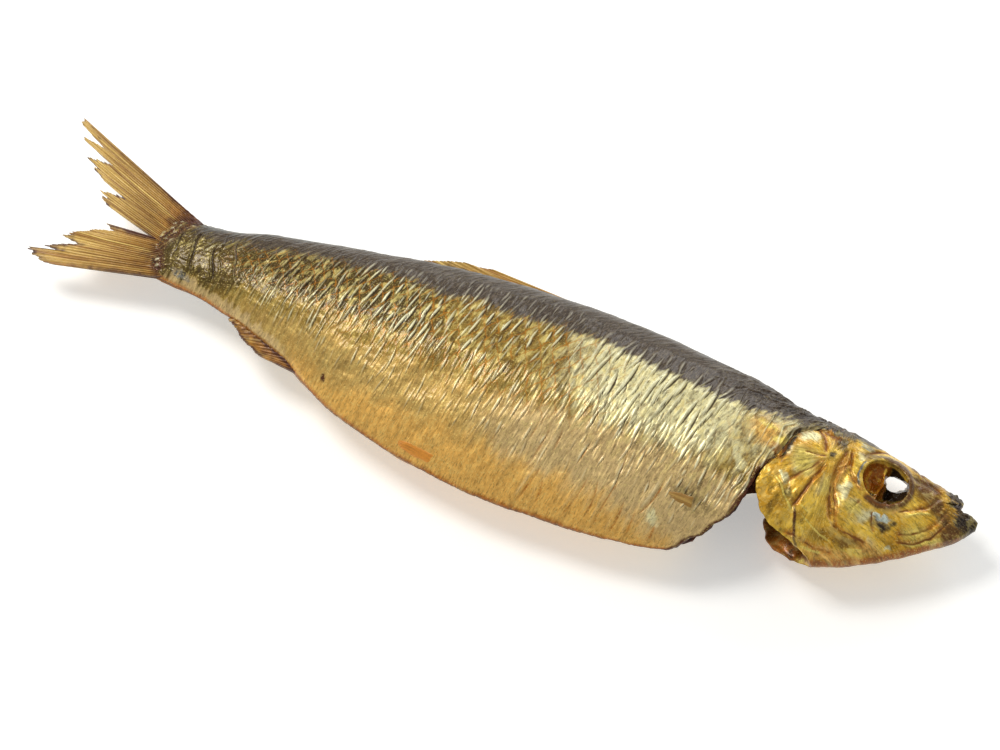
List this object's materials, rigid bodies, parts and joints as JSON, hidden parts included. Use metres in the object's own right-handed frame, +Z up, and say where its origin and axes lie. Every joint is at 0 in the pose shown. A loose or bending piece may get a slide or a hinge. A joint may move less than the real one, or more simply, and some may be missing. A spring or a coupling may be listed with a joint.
{
  "type": "smoked herring",
  "caption": "Whole smoked herring lying on its flank, head on, throat cut open, empty eye sockets and frayed tail fin.",
  "frame": {"origin": "on the surface that the fish lies on, under the centre of its box", "axes": "+X runs from the tail to the snout, +Y from the belly to the back, +Z up, out of the flank that shows"},
  "size_m": [0.2816, 0.0752, 0.0278],
  "materials": {
    "smoked_skin": "glossy golden smoked fish skin with a dark back"
  },
  "bodies": {
    "root": {"smoked_herring": "smoked_skin"}
  },
  "joints": []
}
